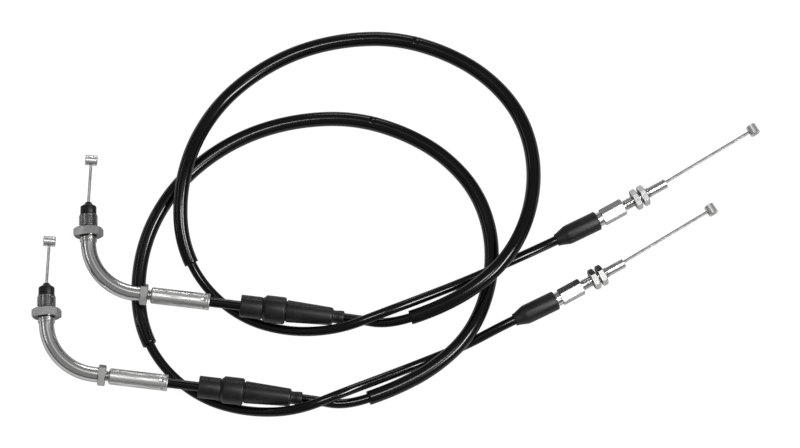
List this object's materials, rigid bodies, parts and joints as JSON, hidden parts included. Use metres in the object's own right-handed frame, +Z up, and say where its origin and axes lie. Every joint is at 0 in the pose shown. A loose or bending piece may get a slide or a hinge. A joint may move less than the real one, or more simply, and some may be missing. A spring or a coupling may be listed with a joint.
{
  "type": "motorcycle throttle cable pair",
  "caption": "Looped throttle cables, each with a bent tube, swivel union, screw adjuster, rubber boots, threaded carburettor fitting and barrel nipples on a sliding wire.",
  "frame": {"origin": "on the surface that the cables lie on, below the middle of the end fittings' bounding box", "axes": "+X from the grip ends to the carburettor ends, +Y the way the bent tubes' upper legs point, +Z up from the surface"},
  "size_m": [0.3824, 0.2117, 0.0233],
  "materials": {
    "glossy_vinyl": "glossy black extruded vinyl",
    "sleeve_vinyl": "satin black extruded vinyl tube",
    "black_rubber": "matt moulded rubber",
    "zinc_plated_steel": "bright zinc plating, satin",
    "barrel_steel": "zinc plated, fine lengthwise brushing",
    "armour_steel": "plain flat wire, wound",
    "liner_plastic": "low friction plastic",
    "wire_steel": "galvanised stranded wire",
    "nipple_alloy": "die-cast zinc alloy"
  },
  "bodies": {
    "lower_cable": {"lower_conduit_jacket": "glossy_vinyl", "lower_spiral_armour": "armour_steel", "lower_conduit_liner": "liner_plastic", "lower_inner_wire": "wire_steel", "lower_protective_sleeve": "sleeve_vinyl", "lower_grip_ferrule": "zinc_plated_steel", "lower_carb_ferrule": "zinc_plated_steel", "lower_carb_fitting": "zinc_plated_steel"},
    "lower_barrel": {"lower_adjuster_barrel": "barrel_steel"},
    "lower_elbow": {"lower_bent_tube": "zinc_plated_steel", "lower_stop_ring": "zinc_plated_steel", "lower_dust_cap": "black_rubber", "lower_bend_liner": "liner_plastic", "lower_bend_wire": "wire_steel"},
    "lower_union": {"lower_swivel_union": "zinc_plated_steel"},
    "lower_lock_nut": {"lower_lock_nut": "zinc_plated_steel"},
    "lower_grip_boot": {"lower_grip_boot": "black_rubber"},
    "lower_grip_wire": {"lower_grip_wire": "wire_steel", "lower_grip_nipple": "nipple_alloy"},
    "lower_carb_boot": {"lower_carb_boot": "black_rubber"},
    "lower_carb_inner_nut": {"lower_carb_inner_nut": "zinc_plated_steel"},
    "lower_carb_outer_nut": {"lower_carb_outer_nut": "zinc_plated_steel"},
    "lower_carb_wire": {"lower_carb_wire": "wire_steel", "lower_carb_nipple": "nipple_alloy"},
    "upper_cable": {"upper_conduit_jacket": "glossy_vinyl", "upper_spiral_armour": "armour_steel", "upper_conduit_liner": "liner_plastic", "upper_inner_wire": "wire_steel", "upper_protective_sleeve": "sleeve_vinyl", "upper_grip_ferrule": "zinc_plated_steel", "upper_carb_ferrule": "zinc_plated_steel", "upper_carb_fitting": "zinc_plated_steel"},
    "upper_barrel": {"upper_adjuster_barrel": "barrel_steel"},
    "upper_elbow": {"upper_bent_tube": "zinc_plated_steel", "upper_stop_ring": "zinc_plated_steel", "upper_dust_cap": "black_rubber", "upper_bend_liner": "liner_plastic", "upper_bend_wire": "wire_steel"},
    "upper_union": {"upper_swivel_union": "zinc_plated_steel"},
    "upper_lock_nut": {"upper_lock_nut": "zinc_plated_steel"},
    "upper_grip_boot": {"upper_grip_boot": "black_rubber"},
    "upper_grip_wire": {"upper_grip_wire": "wire_steel", "upper_grip_nipple": "nipple_alloy"},
    "upper_carb_boot": {"upper_carb_boot": "black_rubber"},
    "upper_carb_inner_nut": {"upper_carb_inner_nut": "zinc_plated_steel"},
    "upper_carb_outer_nut": {"upper_carb_outer_nut": "zinc_plated_steel"},
    "upper_carb_wire": {"upper_carb_wire": "wire_steel", "upper_carb_nipple": "nipple_alloy"}
  },
  "joints": [
    {"name": "lower_barrel_turn", "type": "hinge", "parent": "lower_cable", "child": "lower_barrel", "pos_m": [-0.13551, -0.06287, 0.0128], "axis": [0.9927, -0.1208, 0], "range_deg": [-180, 2880]},
    {"name": "lower_elbow_adjust", "type": "slide", "parent": "lower_cable", "child": "lower_elbow", "axis": [-0.9927, 0.1208, 0], "range_m": [-0.0005, 0.008]},
    {"name": "lower_union_spin", "type": "hinge", "parent": "lower_elbow", "child": "lower_union", "pos_m": [-0.18326, -0.02726, 0.0128], "axis": [0, 1, 0], "continuous": true},
    {"name": "lower_lock_nut_travel", "type": "slide", "parent": "lower_elbow", "child": "lower_lock_nut", "axis": [0.9927, -0.1208, 0], "range_m": [0, 0.0012]},
    {"name": "lower_grip_boot_slide", "type": "slide", "parent": "lower_cable", "child": "lower_grip_boot", "axis": [-0.9927, 0.1208, 0], "range_m": [0, 0.045]},
    {"name": "lower_grip_wire_slide", "type": "slide", "parent": "lower_elbow", "child": "lower_grip_wire", "axis": [0.0663, 0.9978, 0], "range_m": [-0.004, 0.02]},
    {"name": "lower_carb_boot_slide", "type": "slide", "parent": "lower_cable", "child": "lower_carb_boot", "axis": [-0.8951, -0.4459, 0], "range_m": [0, 0.006]},
    {"name": "lower_carb_inner_nut_travel", "type": "slide", "parent": "lower_cable", "child": "lower_carb_inner_nut", "axis": [-0.8709, -0.4915, 0], "range_m": [0, 0.0055]},
    {"name": "lower_carb_outer_nut_travel", "type": "slide", "parent": "lower_cable", "child": "lower_carb_outer_nut", "axis": [0.8709, 0.4915, 0], "range_m": [0, 0.01]},
    {"name": "lower_carb_wire_slide", "type": "slide", "parent": "lower_cable", "child": "lower_carb_wire", "axis": [0.85, 0.5268, 0], "range_m": [-0.022, 0.004]},
    {"name": "upper_barrel_turn", "type": "hinge", "parent": "upper_cable", "child": "upper_barrel", "pos_m": [-0.11351, -0.01892, 0.013], "axis": [0.9927, -0.1204, 0], "range_deg": [-180, 2880]},
    {"name": "upper_elbow_adjust", "type": "slide", "parent": "upper_cable", "child": "upper_elbow", "axis": [-0.9927, 0.1204, 0], "range_m": [-0.0005, 0.008]},
    {"name": "upper_union_spin", "type": "hinge", "parent": "upper_elbow", "child": "upper_union", "pos_m": [-0.16126, 0.01668, 0.013], "axis": [0, 1, 0], "continuous": true},
    {"name": "upper_lock_nut_travel", "type": "slide", "parent": "upper_elbow", "child": "upper_lock_nut", "axis": [0.9927, -0.1204, 0], "range_m": [0, 0.0012]},
    {"name": "upper_grip_boot_slide", "type": "slide", "parent": "upper_cable", "child": "upper_grip_boot", "axis": [-0.9927, 0.1204, 0], "range_m": [0, 0.045]},
    {"name": "upper_grip_wire_slide", "type": "slide", "parent": "upper_elbow", "child": "upper_grip_wire", "axis": [0.0663, 0.9978, 0], "range_m": [-0.004, 0.02]},
    {"name": "upper_carb_boot_slide", "type": "slide", "parent": "upper_cable", "child": "upper_carb_boot", "axis": [-0.8951, -0.4459, 0], "range_m": [0, 0.006]},
    {"name": "upper_carb_inner_nut_travel", "type": "slide", "parent": "upper_cable", "child": "upper_carb_inner_nut", "axis": [-0.8709, -0.4915, 0], "range_m": [0, 0.0055]},
    {"name": "upper_carb_outer_nut_travel", "type": "slide", "parent": "upper_cable", "child": "upper_carb_outer_nut", "axis": [0.8709, 0.4915, 0], "range_m": [0, 0.01]},
    {"name": "upper_carb_wire_slide", "type": "slide", "parent": "upper_cable", "child": "upper_carb_wire", "axis": [0.85, 0.5268, 0], "range_m": [-0.022, 0.004]},
    {"name": "upper_lift", "type": "slide", "parent": "lower_cable", "child": "upper_cable", "axis": [0, 0, 1], "range_m": [0, 0.06]}
  ],
  "couplings": [
    {"joint": "lower_barrel_turn", "follows": "lower_elbow_adjust", "rad_per_m": 6283.2},
    {"joint": "lower_carb_wire_slide", "follows": "lower_grip_wire_slide", "ratio": -1},
    {"joint": "upper_barrel_turn", "follows": "upper_elbow_adjust", "rad_per_m": 6283.2},
    {"joint": "upper_carb_wire_slide", "follows": "upper_grip_wire_slide", "ratio": -1}
  ]
}
